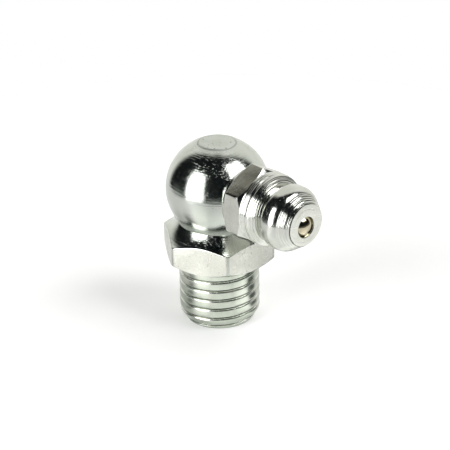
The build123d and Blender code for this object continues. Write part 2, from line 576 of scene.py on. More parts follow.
@dataclass(frozen=True)
class SteelFinish:
    """A plated or bare steel surface.

    Attributes:
        name: the material's name.
        axis: which axis the tool marks run round.
        bright: the cleaner colour.
        dull: the colour of the cloudy patches.
        roughness: how blurred its mirror image is.
        marks: slope of the tool marks, as height in millimetres.
        lines: tool marks in a millimetre.
        pitting: how many and how large the pits are, from 0 to 1.
        scratching: how many scratches, from 0 to 1.
        rough_above: above this height it is rougher and more pitted, in millimetres.
        cap_blend: where that change begins and ends, from that height.
        cap_pitting: how much the pitting grows there.
        pit_shade: the pits' brightness, against the dull colour.
        rubbed: the colour of rubbed edges.
        rub_range: the edge wear at which rubbing begins and is full.
        rub_share: how much of an edge is rubbed where the fine mottle is low, and its growth.
        painted_shade: the colour painted into roots and grooves as shade.
        painted_shade_range: the channel value, below 0, at which the painted shade begins and is
            darkest.
        painted_shade_share: how much of the metal the darkest painted shade covers.
        blurs: roughness that fine mottle, scratches, that height and pits add.
        depths: depth of pits and of scratches, in tool marks.
    """

    name: str
    axis: Axis
    bright: Colour
    dull: Colour
    roughness: float = 0.2
    marks: float = 0.001
    lines: float = 8.0
    pitting: float = 0.4
    scratching: float = 0.4
    rough_above: float = 1000.0
    cap_blend: Point = (-0.2, 0.05)
    cap_pitting: float = 0.5
    pit_shade: float = 0.45
    rubbed: Colour = (0.9, 0.9, 0.88)
    rub_range: Point = (0.05, 0.9)
    rub_share: Point = (0.15, 0.7)
    # Painted shade: the near-black colour that roots and grooves are darkened to.
    painted_shade: Colour = (0.05, 0.055, 0.05)
    painted_shade_range: Point = (-0.1, -0.9)
    painted_shade_share: float = 0.75
    blurs: tuple[float, ...] = (0.08, 0.12, 0.25, 0.3)
    depths: Point = (1.5, 0.6)

    def place(self, sheet: NodeSheet) -> Socket:
        """Object coordinates turned so that the tool marks' axis is Z.

        Args:
            sheet: the material's node sheet.

        Returns:
            The coordinates, in metres.
        """
        coordinates = sheet.add("TexCoord").outputs["Object"]
        if self.axis is Axis.STUD:
            return coordinates
        moved = sheet.vector("SUBTRACT", coordinates, (0.0, 0.0, COUPLER_HEIGHT * MM))
        x, y, z = sheet.add("SeparateXYZ", {0: moved}).outputs
        return sheet.add("CombineXYZ", {0: y, 1: z, 2: x}).outputs[0]

    def material(self, effects: Effects) -> Material:
        """Builds the finish's material.

        Args:
            effects: the shared surface effects.

        Returns:
            The material.
        """
        steel = bpy.data.materials.new(self.name)
        steel.use_nodes = True
        sheet = NodeSheet(steel.node_tree)
        shader = steel.node_tree.nodes["Principled BSDF"]
        shader.inputs["Metallic"].default_value = 1.0
        place = self.place(sheet)

        def effect(group: Tree, **inputs: object) -> Node:
            """Places one shared effect on the piece's own coordinates."""
            values = {key.replace("_", " "): value for key, value in inputs.items()}
            return sheet.add("Group", {"Vector": place, **values}, node_tree=group)

        level = sheet.add("SeparateXYZ", {0: place}).outputs[2]
        low, high = ((self.rough_above + reach) * MM for reach in self.cap_blend)
        cap = sheet.spread(level, low, high)
        marks = effect(effects.turning, Lines_per_mm=self.lines).outputs["Height"]
        broad, fine = effect(effects.mottle).outputs
        amount = sheet.plus(self.pitting, cap, self.cap_pitting)
        pits = effect(effects.pits, Amount=amount).outputs["Mask"]
        scratches = effect(effects.scratches, Density=self.scratching).outputs["Mask"]
        wear_and_shade = sheet.add("Attribute", attribute_name=WEAR_AND_SHADE).outputs["Fac"]

        colour = sheet.blend(broad, (*self.bright, 1.0), (*self.dull, 1.0))
        colour = sheet.blend(pits, colour, (*(self.pit_shade * c for c in self.dull), 1.0))
        least, growth = self.rub_share
        rubbed = sheet.math("MULTIPLY", sheet.spread(wear_and_shade, *self.rub_range),
                            sheet.plus(least, fine, growth))
        colour = sheet.blend(rubbed, colour, (*self.rubbed, 1.0))
        # Painted shade: darkens the colour where the channel falls below 0, in roots and grooves.
        painted_dark = sheet.math("MULTIPLY", sheet.spread(wear_and_shade, *self.painted_shade_range), self.painted_shade_share)
        colour = sheet.blend(painted_dark, colour, (*self.painted_shade, 1.0))
        sheet.feed(colour, shader.inputs["Base Color"])

        rough: object = self.roughness - self.blurs[0] / 2
        for mask, blur in zip((fine, scratches, cap, pits), self.blurs):
            rough = sheet.plus(rough, mask, blur)
        sheet.feed(rough, shader.inputs["Roughness"])
        height: object = marks
        for mask, depth in zip((pits, scratches), self.depths):
            height = sheet.plus(height, mask, -depth)
        bump = sheet.add("Bump", {"Height": height, "Distance": self.marks * MM, "Strength": 1.0})
        sheet.feed(bump.outputs["Normal"], shader.inputs["Normal"])
        return steel


BODY_FINISH = SteelFinish("plated_body", Axis.STUD, bright=(0.58, 0.605, 0.565),
                          dull=(0.49, 0.52, 0.475), roughness=0.14, marks=0.012, lines=6.0,
                          pitting=0.2, scratching=0.7, rough_above=11.9)
THREAD_FINISH = SteelFinish("rolled_thread", Axis.STUD, bright=(0.63, 0.66, 0.59),
                            dull=(0.5, 0.54, 0.47), roughness=0.2, marks=0.006, lines=6.0,
                            pitting=0.3, scratching=0.8)
FLAT_FINISH = SteelFinish("drawn_flats", Axis.STUD, bright=(0.67, 0.675, 0.625),
                          dull=(0.58, 0.582, 0.535), roughness=0.3, marks=0.008, pitting=0.5,
                          scratching=0.9)
HEAD_FINISH = SteelFinish("plated_head", Axis.COUPLER, bright=(0.66, 0.67, 0.635),
                          dull=(0.55, 0.565, 0.52), roughness=0.14, marks=0.008, lines=9.0)
ROOT_FINISH = SteelFinish("drawn_root", Axis.COUPLER, bright=(0.6, 0.605, 0.56),
                          dull=(0.5, 0.5, 0.45), roughness=0.24, marks=0.003, pitting=0.4,
                          scratching=0.8)
# Painted shade: a darker copy of the root's finish for the root flat that faces up.
SHADED_ROOT_FINISH = SteelFinish("shaded_root_flat", Axis.COUPLER, bright=(0.35, 0.35, 0.31),
                             dull=(0.2, 0.195, 0.165), roughness=0.2, marks=0.012,
                             pitting=0.5, scratching=1.0)
FACE_FINISH = SteelFinish("faced_mouth", Axis.COUPLER, bright=(0.8, 0.81, 0.75),
                          dull=(0.72, 0.73, 0.67), roughness=0.3, marks=0.002)
BALL_FINISH = SteelFinish("bearing_ball", Axis.COUPLER, bright=(0.64, 0.58, 0.44),
                          dull=(0.54, 0.47, 0.34), roughness=0.11, marks=0.0002, pitting=0.1,
                          scratching=0.2)
WIRE_FINISH = SteelFinish("spring_wire", Axis.COUPLER, bright=(0.5, 0.5, 0.5),
                          dull=(0.4, 0.4, 0.4), roughness=0.25, marks=0.0002)


def dress(piece: Piece, material: Material) -> None:
    """Gives a piece one material all over, in its one material slot.

    Args:
        piece: the mesh.
        material: its finish.
    """
    piece.data.materials.clear()
    piece.data.materials.append(material)


def dress_faces(piece: Piece, material: Material,
                chosen: Callable[[Vector, Vector], bool]) -> None:
    """Gives some faces of a dressed piece a material of their own.

    Args:
        piece: the mesh, in metres.
        material: the finish of the chosen faces.
        chosen: tells from a face's middle, in millimetres, and its normal.
    """
    piece.data.materials.append(material)
    slot = len(piece.data.materials) - 1
    for face in piece.data.polygons:
        if chosen(face.center / MM, face.normal):
            face.material_index = slot


# ---- Body: stud, hexagon and elbow -----------------------------------------------------

@dataclass
class Hexagon:
    """A turned hexagon bar: flats, and corners that the turning has left.

    Attributes:
        across_flats: distance between opposite flats.
        corner_radius: radius to which the corners are turned.
        turn: angle of the first flat's middle about the axis, in degrees.
        edge: how far the corners' own edges are rounded, in degrees about the axis.
        flat_lean: how far the normal of a face on a flat may rise.
        flat_gap: how far such a face may stand off the flat.
    """

    across_flats: float
    corner_radius: float
    turn: float
    edge: float = 0.45
    flat_lean: float = 0.05
    flat_gap: float = 0.02

    def from_flat(self, angle: float) -> float:
        """The angle from the middle of the nearest flat, within half a sextant."""
        sextant = math.tau / 6
        return (angle - math.radians(self.turn) + sextant / 2) % sextant - sextant / 2

    def reach(self, angle: float) -> float:
        """The bar's radius at an angle: the flat's, or the turned corner's."""
        return min(self.across_flats / 2 / math.cos(self.from_flat(angle)), self.corner_radius)

    def on_flat(self, middle: Vector, normal: Vector) -> bool:
        """Whether a face lies on a flat, by its middle and normal in the bar's own frame.

        Args:
            middle: the face's middle, in millimetres.
            normal: the face's normal.

        Returns:
            True where the face is upright and as far out as the flats.
        """
        level = Vector((normal.x, normal.y, 0.0)).normalized()
        gap = abs(level.dot(middle) - self.across_flats / 2)
        return abs(normal.z) < self.flat_lean and gap < self.flat_gap

    def columns(self, per_flat: int) -> list[float]:
        """Column angles that follow each flat and fall on its edges.

        Args:
            per_flat: columns across one flat.

        Returns:
            The angles round a full turn, rising.
        """
        half = math.pi / 6
        edge = math.acos(min(1.0, self.across_flats / 2 / self.corner_radius))
        soft = math.radians(self.edge)
        across = [edge * (2 * i / per_flat - 1) for i in range(per_flat + 1)]
        strip = [edge + soft, half, 2 * half - edge - soft] if edge + 2 * soft < half else [half]
        if edge > half - soft:
            across, strip = across[1:-1], [half]
        first = math.radians(self.turn)
        return sorted((first + sextant * 2 * half + angle) % math.tau
                      for sextant in range(6) for angle in across + strip)


@dataclass
class NippleBody:
    """The one-piece body: threaded stud, hexagon and ball-shaped elbow. Millimetres.

    Attributes whose names don't say it all:
        thread_crown: how far the crest falls off before the flanks begin.
        thread_fullness: power of the flanks' curve, higher for a fuller crest.
        thread_core: depth below the crest at which the thread's faces end.
        painted_root_shade: lowest and highest place, above the root, that is painted dark as shade.
        rubbed_crest: lowest and highest rubbed place, above the root.
        stud_overlap: how far the stud reaches up into the hexagon.
        stud_end_chamfer: depth and length of the taper at the stud's end.
        underside_middle: where the underside's flat ring begins, inside the stud.
        shoulder_lead: share of the shoulder that the corner's rounding may use.
        crown_step: how far outside the crown the ball's smooth skin ends.
        crown_groove: rows of the groove round the crown, outwards, down and wear, the inner two
            painted dark as shade.
        dish: radius and depth of the crown's shallow dish.
    """

    thread_diameter: float = 7.85
    thread_pitch: float = 1.0
    thread_depth: float = 0.34
    thread_crown: float = 0.035
    thread_fullness: float = 9.0
    profile_steps: int = 14
    thread_steps: int = 120
    thread_core: float = 0.94
    # Band at the thread's roots that is painted dark as shade.
    painted_root_shade: Point = (-0.1, 0.08)
    rubbed_crest: Point = (0.24, 0.3)
    stud_length: float = 6.5
    stud_overlap: float = 0.4
    stud_end_chamfer: Point = (0.56, 1.04)
    hexagon: Hexagon = field(default_factory=lambda: Hexagon(10.0, 5.7, -3.5))
    corner_height: float = 2.48
    seat_face_radius: float = 4.95
    underside_middle: float = 3.0
    underside_chamfer: float = 0.55
    shoulder_hollow: float = 0.18
    shoulder_lead: float = 0.08
    shoulder_rows: int = 12
    elbow_radius: float = 5.025
    elbow_height: float = 7.25
    ball_rows: int = 48
    neck_flank_angle: float = 26.0
    neck_flank_length: float = 1.17
    crown_radius: float = 1.65
    crown_step: float = 0.34
    # The groove's two inner rows carry painted shade (-0.5).
    crown_groove: tuple[Row, ...] = ((0.32, 0.0, 0.3), (0.24, 0.04, -0.5), (0.12, 0.045, -0.5))
    crown_rounding: float = 0.08
    dish: Point = (0.8, 0.05)
    spot_face_distance: float = 4.0
    spot_face_radius: float = 3.4
    pocket_radius: float = 2.405
    pocket_floor: float = 1.6
    passage_radius: float = 0.9
    bore_radius: float = 1.1
    bore_chamfer: float = 0.3
    drill_angle: float = 118.0
    edge_rounding: float = 0.06
    flat_columns: int = 40
    seat_columns: int = 128
    bore_columns: int = 64

    def flank_top(self) -> Point:
        """Where the straight flank leaves the ball, as radius and height."""
        return arc((0.0, self.elbow_height), self.elbow_radius, [-self.neck_flank_angle])[0][:2]

    def neck(self) -> Point:
        """Works out the sharp corner between shoulder and flank.

        Returns:
            Its radius and height.
        """
        flank = math.radians(self.neck_flank_angle)
        r, z = self.flank_top()
        return (r - self.neck_flank_length * math.sin(flank),
                z - self.neck_flank_length * math.cos(flank))

    def shoulder(self, t: float) -> Point:
        """Works out a point of the hollow shoulder.

        Args:
            t: the share of the way up, 0 at the hexagon's corner and 1 at the neck.

        Returns:
            Its radius and height.
        """
        corner, neck = (self.hexagon.corner_radius, self.corner_height), self.neck()
        r, z = between(corner, neck, t)
        sag = 4 * self.shoulder_hollow * t * (1 - t) / math.dist(corner, neck)
        return (r - sag * (neck[1] - corner[1]), z + sag * (neck[0] - corner[0]))

    def shoulder_start(self, radius: float) -> float:
        """Finds where the shoulder comes in to a radius.

        Args:
            radius: the bar's radius in that column.

        Returns:
            The share of the shoulder, from 0 to 1, that lies outside it.
        """
        low, high, halvings = 0.0, 1.0, 30
        for _ in range(halvings):
            middle = (low + high) / 2
            low, high = (middle, high) if self.shoulder(middle)[0] > radius else (low, middle)
        return low

    def outline(self, angle: float) -> Outline:
        """The rows of one column, from under the hexagon up to the crown.

        Args:
            angle: the column's angle about the stud's axis.

        Returns:
            The rows.
        """
        reach = self.hexagon.reach(angle)
        underside = self.seat_face_radius
        start = self.shoulder_start(reach)
        soft = start + self.shoulder_lead
        rise = self.underside_chamfer / (self.hexagon.corner_radius - underside)
        rows = rounded(Corner(self.underside_middle, 0.0),
                       Corner(underside, 0.0, rounding=0.04, wear_and_shade=0.5),
                       Corner(reach, (reach - underside) * rise, rounding=0.05, wear_and_shade=0.8),
                       Corner(*self.shoulder(start), rounding=self.edge_rounding, wear_and_shade=1.0),
                       Corner(*self.shoulder(soft)))
        rows += plain([self.shoulder(share)
                       for share in even_steps(soft, 1.0, self.shoulder_rows)[1:]])
        rows += plain([between(self.neck(), self.flank_top(), share)
                       for share in (0.04, 0.35, 0.7, 1.0)])

        def ball_height(radius: float) -> float:
            """The height of the ball's upper half at a radius."""
            return self.elbow_height + math.sqrt(self.elbow_radius**2 - radius**2)

        ring = math.acos((self.crown_radius + self.crown_step) / self.elbow_radius)
        rows += arc((0.0, self.elbow_height), self.elbow_radius,
                    even_steps(-self.neck_flank_angle, math.degrees(ring), self.ball_rows)[1:])
        for out, sink, wear_and_shade in self.crown_groove:
            radius = self.crown_radius + out
            rows.append((radius, ball_height(radius) - sink, wear_and_shade))
        crown = (self.crown_radius, ball_height(self.crown_radius))
        rows += softened(crown, rows[-1][:2], (0.0, crown[1]), self.crown_rounding, 0.3)
        dish_radius, dish_depth = self.dish
        return rows + [(dish_radius, crown[1] - dish_depth, 0.0)]

    def thread_turn(self) -> list[Point]:
        """The rows of one turn of thread, from root to root, with its full rounded crest.

        Returns:
            The points, as radius and height.
        """
        rows: list[Point] = []
        for turn in even_steps(0.0, math.pi, self.profile_steps):
            across = -math.cos(turn)
            drop = (self.thread_crown * across**2
                    + (self.thread_depth - self.thread_crown) * abs(across) ** self.thread_fullness)
            rows.append((self.thread_diameter / 2 - drop, self.thread_pitch * (1 + across) / 2))
        return rows

    def end_taper(self, height: float) -> float:
        """How far the end chamfer draws the thread in at a height."""
        depth, length = self.stud_end_chamfer
        return depth * max(0.0, 1 - (height + self.stud_length) / length)

    def taper_end(self, stud: Piece) -> None:
        """Draws the thread in towards the stud's end, along the end chamfer.

        Args:
            stud: the wound stud.
        """
        for vertex in stud.data.vertices:
            if vertex.co.xy.length > 1.0:
                level = vertex.co.xy.normalized() * self.end_taper(vertex.co.z)
                vertex.co.x -= level.x
                vertex.co.y -= level.y

    def mark_thread(self, body: Piece) -> None:
        """Marks the crests' edges as rubbed and paints shade into the roots.

        Args:
            body: the body, once its stud is on and every cut is made.
        """
        root = self.thread_diameter / 2 - self.thread_depth
        wear_and_shade = body.data.attributes[WEAR_AND_SHADE].data
        for vertex in body.data.vertices:
            above_root = vertex.co.xy.length + self.end_taper(vertex.co.z) - root
            if vertex.co.z < -1e-3:
                painted_dark, rubbed = (low < above_root < high for low, high in
                                 (self.painted_root_shade, self.rubbed_crest))
                # Thread roots get painted shade (-1), crest edges rubbed wear (0.8).
                wear_and_shade[vertex.index].value = -1.0 if painted_dark else 0.8 if rubbed else 0.0

    def coupler_seat(self, _angle: float) -> Outline:
        """The spigot pocket and spot face, cut along the coupler axis.

        Args:
            _angle: not used, because the form is round.

        Returns:
            The rows.
        """
        return plain([(self.pocket_radius, self.pocket_floor),
                      (self.pocket_radius, self.spot_face_distance),
                      (self.spot_face_radius, self.spot_face_distance),
                      (self.spot_face_radius, self.elbow_radius + 1.0)])

    def passage(self, _angle: float) -> Outline:
        """The way from the grease bore into the pocket, along the valve's axis."""
        return plain([(self.passage_radius, 0.0), (self.passage_radius, self.pocket_floor + 0.2)])

    def grease_bore(self, _angle: float) -> Outline:
        """The bore drilled up the stud, with its mouth chamfer and drill point.

        Args:
            _angle: not used, because the form is round.

        Returns:
            The rows.
        """
        radius, end = self.bore_radius, -self.stud_length
        mouth, below = self.bore_chamfer, 0.5
        top = COUPLER_HEIGHT - VALVE_DROP + radius
        point = radius / math.tan(math.radians(self.drill_angle / 2))
        return plain([(radius + mouth + below, end - below), (radius, end + mouth), (radius, top),
                      (0.0, top + point)])

    def build_stud(self) -> Piece:
        """Winds the thread's outline up the stud and cuts it to length.

        Returns:
            The stud as a closed form.
        """
        deselect_all()
        bpy.ops.mesh.primitive_circle_add(vertices=3, radius=1.0)
        stud = bpy.context.object
        stud.name = "threaded_stud"
        bpy.ops.object.mode_set(mode="EDIT")
        mesh = bmesh.from_edit_mesh(stud.data)
        bmesh.ops.delete(mesh, geom=mesh.verts[1:], context="VERTS")
        for row, (r, z) in enumerate(self.thread_turn()):
            if row:
                bpy.ops.mesh.extrude_region_move()
            mesh = bmesh.from_edit_mesh(stud.data)
            for vertex in mesh.verts:
                if vertex.select:
                    vertex.co = (r, 0.0, z)
            bmesh.update_edit_mesh(stud.data)
        wind(stud, self.thread_pitch, self.thread_steps, (-self.stud_length, self.stud_overlap),
             lead=1.5, merge=True)
        self.taper_end(stud)
        return stud

    def build(self, finish: Material, thread: Material, flats: Material) -> Piece:
        """Makes the body's mesh: hexagon and ball, stud, coupler seat and grease way.

        Args:
            finish: its material.
            thread: the material of the thread.
            flats: the material of the hexagon's flats.

        Returns:
            The finished piece, in metres.
        """
        columns = self.hexagon.columns(self.flat_columns)
        body = RingForm("nipple_body", columns, self.outline).build()
        combine(body, self.build_stud(), "UNION")
        for name, count, outline, place in (
                ("coupler_seat", self.seat_columns, self.coupler_seat, COUPLER_PLACE),
                ("passage", self.bore_columns, self.passage, VALVE_PLACE),
                ("grease_bore", self.bore_columns, self.grease_bore, Matrix.Identity(4))):
            cutter = RingForm(name, even_angles(count), outline).build()
            turn_to(cutter, place)
            combine(body, cutter, "DIFFERENCE")
        clean(body)
        self.mark_thread(body)
        seat(body, Matrix.Identity(4))
        dress(body, finish)
        core = self.thread_diameter / 2 - self.thread_core
        dress_faces(body, thread, lambda middle, normal: middle.xy.length > core
                    and -self.stud_length + 0.01 < middle.z < -0.01)
        dress_faces(body, flats, lambda middle, normal: 0 < middle.z < self.flank_top()[1]
                    and self.hexagon.on_flat(middle, normal))
        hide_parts("body")
        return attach(body, "housing")


# ---- Coupler head ----------------------------------------------------------------------

@dataclass
class CouplerHead:
    """The turned head that the grease gun grips. Millimetres, along the coupler axis.

    Attributes whose names don't say it all:
        seat_ring_radius: the ring that stands on the elbow's spot face.
        root: the hexagon that the head was turned from, left on its root.
        face_ring: radius, half width and depth of the fine ring in the mouth's face.
        rim_groove: depth of the groove round that face, which is painted dark as shade.
        seat_start: where the ball's seat begins, behind the mouth.
    """

    spigot_end: float = 1.7
    spigot_radius: float = 2.4
    spigot_chamfer: float = 0.15
    spot_face: float = 4.0
    seat_ring_radius: float = 3.15
    root_start: float = 4.5
    root_end: float = 6.65
    root: Hexagon = field(default_factory=lambda: Hexagon(6.8, 3.9, 30.0))
    root_back_chamfer: float = 0.35
    root_front_chamfer: float = 0.27
    collar_radius: float = 3.475
    collar_end: float = 7.85
    collar_chamfer: float = 0.5
    collar_marks: int = 11
    lip_marks: int = 6
    collar_mark_depth: float = 0.034
    waist_radius: float = 2.55
    waist_end: float = 8.65
    bulge_radius: float = 3.2
    bulge_back: float = 9.3
    bulge_front: float = 10.45
    back_rounding: float = 0.7
    front_rounding: float = 1.2
    bulge_rows: int = 9
    nose_marks: int = 13
    nose_mark_depth: float = 0.027
    mouth_face: float = 12.1
    mouth_face_radius: float = 2.075
    mouth_radius: float = 1.025
    face_ring: Row = (1.62, 0.06, 0.012)
    rim_groove: float = 0.03
    seat_start: float = 11.8
    chamber_radius: float = 1.45
    seat_half_angle: float = 30.0
    flat_columns: int = 36

    def ripples(self, start: Point, end: Point, span: Point, count: int,
                depth: float) -> Outline:
        """Cuts sharp feed marks side by side into a straight side of the outline.

        Sines that never fall into step make the marks uneven in width and depth. Every third trough
        is painted dark as shade.

        Args:
            start: where the side begins, as radius and place along the axis.
            end: where it ends.
            span: where the marks begin and end, as shares of the side.
            count: number of marks.
            depth: depth of the deepest mark.

        Returns:
            The rows of the marks.
        """
        length = math.dist(start, end)
        inward = ((start[1] - end[1]) / length, (end[0] - start[0]) / length)
        first, last = (between(start, end, share) for share in span)
        rows: Outline = []
        for i in range(count):
            peak = (i + 0.2 * math.sin(2.3 * i)) if i else 0.0
            trough = i + 0.5 + 0.18 * math.sin(4.1 * i + 2.0)
            sink = depth * (0.62 + 0.38 * math.sin(3.7 * i + 0.6))
            # Painted shade: every third trough is darkened.
            painted_shade = -0.35 if i % 3 == 1 else 0.0
            for place, drop, wear_and_shade in ((peak, 0.0, 0.15), (trough, sink, painted_shade)):
                r, z = between(first, last, place / count)
                rows.append((r + inward[0] * drop, z + inward[1] * drop, wear_and_shade))
        return rows + plain([last])

    def back_end(self, angle: float) -> Outline:
        """Draws one column of the spigot, the seat ring and the hexagon root.

        Args:
            angle: the column's angle about the coupler axis.

        Returns:
            The rows, from the chamber's back end out to the collar.
        """
        reach = self.root.reach(angle)
        flat = self.root.across_flats / 2
        back_slope = self.root_back_chamfer / (self.root.corner_radius - flat)
        front_slope = self.root_front_chamfer / (self.root.corner_radius - self.collar_radius)
        overhang = max(0.0, reach - self.collar_radius)
        chamfer = self.spigot_chamfer
        return rounded(
            Corner(self.chamber_radius, self.spigot_end),
            Corner(self.spigot_radius - chamfer, self.spigot_end),
            Corner(self.spigot_radius, self.spigot_end + chamfer),
            Corner(self.spigot_radius, self.spot_face),
            Corner(self.seat_ring_radius, self.spot_face, rounding=0.04, wear_and_shade=0.6),
            Corner(self.seat_ring_radius, self.root_start, rounding=0.02),
            Corner(flat - 0.05, self.root_start, rounding=0.03, wear_and_shade=0.4),
            Corner(reach, self.root_start + (reach - flat) * back_slope, rounding=0.05, wear_and_shade=0.8),
            Corner(reach, self.root_end - overhang * front_slope, rounding=0.03, wear_and_shade=0.5),
            Corner(self.collar_radius, self.root_end))

    def collar(self) -> Outline:
        """Draws the collar with its chamfered lip, and the waist as far as the bulge.

        Returns:
            The rows.
        """
        edge = (self.collar_radius, self.collar_end)
        lip = (self.collar_radius - self.collar_chamfer, self.collar_end + self.collar_chamfer)
        rows = self.ripples((self.collar_radius, self.root_end), edge, (0.04, 0.94),
                            self.collar_marks, self.collar_mark_depth)
        rows += self.ripples(edge, lip, (0.06, 0.9), self.lip_marks, self.collar_mark_depth)
        return rows + rounded(
            Corner(*between(edge, lip, 0.92)),
            Corner(*lip, rounding=0.03, wear_and_shade=0.4),
            Corner(self.waist_radius, lip[1], rounding=0.03),
            Corner(self.waist_radius, self.waist_end, rounding=0.06),
            Corner(self.waist_radius + 0.2, self.waist_end + 0.2))

    def bulge(self) -> Outline:
        """Draws the bulge that the grease gun grips, up to the nose's cone.

        Returns:
            The rows.
        """
        slope = 45.0
        lean = math.degrees(math.atan2(self.bulge_radius - self.mouth_face_radius,
                                       self.mouth_face - self.bulge_front))
        back = self.bulge_back + self.back_rounding * math.tan(math.radians(slope / 2))
        front = self.bulge_front - self.front_rounding * math.tan(math.radians(lean / 2))
        rows: Outline = []
        for middle, rounding, first, last in ((back, self.back_rounding, -slope, 0.0),
                                              (front, self.front_rounding, 0.0, lean)):
            rows += arc((self.bulge_radius - rounding, middle), rounding,
                        even_steps(first, last, self.bulge_rows))
        return rows

    def nose(self, start: Point) -> Outline:
        """Draws the nose's cone, the mouth's face and the mouth.

        Args:
            start: where the cone leaves the bulge.

        Returns:
            The rows.
        """
        edge = (self.mouth_face_radius, self.mouth_face)
        groove = self.mouth_face_radius - self.rim_groove
        ring, half_width, depth = self.face_ring
        rows = self.ripples(start, edge, (0.14, 0.93), self.nose_marks, self.nose_mark_depth)
        return rows + rounded(
            Corner(*between(start, edge, 0.94)),
            # The groove round the face is painted dark as shade (-1).
            Corner(groove, self.mouth_face - 0.1, wear_and_shade=-1.0),
            Corner(groove, self.mouth_face - 0.05, wear_and_shade=-1.0),
            Corner(*edge, rounding=0.02, wear_and_shade=0.3),
            Corner(ring + half_width, self.mouth_face, rounding=0.02),
            Corner(ring, self.mouth_face - depth, rounding=0.02),
            Corner(ring - half_width, self.mouth_face, rounding=0.02),
            Corner(self.mouth_radius, self.mouth_face, rounding=0.07, wear_and_shade=0.2),
            Corner(self.mouth_radius, self.seat_start))

    def outline(self, angle: float) -> Outline:
        """Draws one column: outside from spigot to mouth, then back inside.

        Args:
            angle: the column's angle about the coupler axis.

        Returns:
            The rows.
        """
        bulge = self.bulge()
        slope = math.tan(math.radians(self.seat_half_angle))
        seat_end = self.seat_start - (self.chamber_radius - self.mouth_radius) / slope
        chamber = plain([(self.chamber_radius, seat_end),
                         (self.chamber_radius, self.spigot_end + 0.05)])
        return self.back_end(angle) + self.collar() + bulge + self.nose(bulge[-1][:2]) + chamber

    def drop_bore(self, head: Piece) -> None:
        """Lowers mouth, ball seat and chamber to the valve's own axis.

        Args:
            head: the head, in millimetres.
        """
        edit(head, "DESELECT")
        bpy.ops.mesh.select_mode(type="VERT")
        mesh = bmesh.from_edit_mesh(head.data)
        for vertex in mesh.verts:
            vertex.select_set(vertex.co.xy.length < self.chamber_radius + 0.01)
        bmesh.update_edit_mesh(head.data)
        bpy.ops.transform.translate(value=(-VALVE_DROP, 0.0, 0.0))
        bpy.ops.object.mode_set(mode="OBJECT")

    def build(self, finish: Material, flats: Material, shaded_flat: Material,
              face: Material) -> Piece:
        """Makes the head's mesh.

        Args:
            finish: its material.
            flats: the material of the root's flats.
            shaded_flat: a darker copy of the root's material, painted shade on the root flat that
                faces up.
            face: the material of the mouth's face.

        Returns:
            The finished piece, in metres.
        """
        columns = self.root.columns(self.flat_columns)
        head = RingForm("coupler_head", columns, self.outline, hollow=True).build()
        self.drop_bore(head)
        seat(head, COUPLER_PLACE)
        dress(head, finish)
        to_head = COUPLER_PLACE.inverted()

        def on_root(middle: Vector, normal: Vector) -> bool:
            """Whether a face is part of the root's flats."""
            return (self.root_start < middle.x < self.root_end
                    and self.root.on_flat(to_head @ middle, to_head.to_3x3() @ normal))

        dress_faces(head, flats, on_root)
        # Painted shade: the root flat that faces up gets the darker copy.
        dress_faces(head, shaded_flat, lambda middle, normal: normal.z > 0.5 and normal.y < 0
                    and on_root(middle, normal))
        dress_faces(head, face, lambda middle, normal: normal.x > 0.9
                    and middle.x > self.mouth_face - 0.05)
        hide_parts("nipple_head")
        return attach(head, "housing")


# ---- Check valve -----------------------------------------------------------------------

@dataclass
class CheckValve:
    """The ball that closes the mouth, and the spring behind it. Millimetres.

    Attributes whose names don't say it all:
        seat_band: the middle of the band that the seat has rubbed, in degrees from the equator.
        seat_band_reach: how far the band reaches to each side, in degrees.
        travel: how far the ball can be pushed back; not used.
    """

    ball_radius: float = 1.25
    seat_band: float = 30.0
    seat_band_reach: float = 2.0
    seat_band_depth: float = 0.002
    ball_rows: int = 30
    ball_columns: int = 64
    wire_radius: float = 0.15
    wire_columns: int = 16
    coil_radius: float = 1.0
    coil_turns: float = 6.0
    coil_steps: int = 48
    travel: float = 4.5

    def ball_outline(self, _angle: float) -> Outline:
        """The ball's rows from pole to pole, with the narrow band its seat has rubbed.

        Args:
            _angle: not used, because the form is round.

        Returns:
            The rows.
        """
        band = (self.seat_band - self.seat_band_reach, self.seat_band + self.seat_band_reach)
        rows = plain([(0.0, -self.ball_radius)])
        for lift in sorted([*even_steps(-90.0, 90.0, self.ball_rows)[1:-1], *band]):
            rubbed = band[0] <= lift <= band[1]
            radius = self.ball_radius - (self.seat_band_depth if rubbed else 0.0)
            rows += arc((0.0, 0.0), radius, [lift], 0.3 if rubbed else 0.0)
        return rows + plain([(0.0, self.ball_radius)])

    def build_ball(self, finish: Material) -> Piece:
        """Makes the check ball.

        Args:
            finish: its material.

        Returns:
            The finished piece, in metres.
        """
        low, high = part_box("check_ball")
        middle = (low.x + high.x) / 2 / MM
        columns = even_angles(self.ball_columns)
        ball = RingForm("check_ball_polished", columns, self.ball_outline).build()
        seat(ball, VALVE_PLACE @ Matrix.Translation((0, 0, middle)))
        dress(ball, finish)
        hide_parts("check_ball")
        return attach(ball, "ball")

    def build_spring(self, finish: Material) -> Piece:
        """Winds the spring in the place of its solid and grinds both ends flat.

        Args:
            finish: its material.

        Returns:
            The finished piece, in metres.
        """
        low, high = (corner.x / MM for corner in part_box("spring"))
        pitch = (high - low) / self.coil_turns
        deselect_all()
        bpy.ops.mesh.primitive_circle_add(vertices=self.wire_columns, radius=self.wire_radius,
                                          location=(self.coil_radius, 0.0, 0.0),
                                          rotation=(math.pi / 2, 0.0, 0.0))
        spring = bpy.context.object
        spring.name = "valve_spring"
        bpy.ops.object.transform_apply(location=True, rotation=True, scale=True)
        wind(spring, pitch, self.coil_steps, (low, high), lead=0.5, merge=False)
        seat(spring, VALVE_PLACE, smooth_angle=40.0)
        dress(spring, finish)
        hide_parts("spring")
        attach(spring, "housing")
        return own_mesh(spring)


# ---- Studio ----------------------------------------------------------------------------

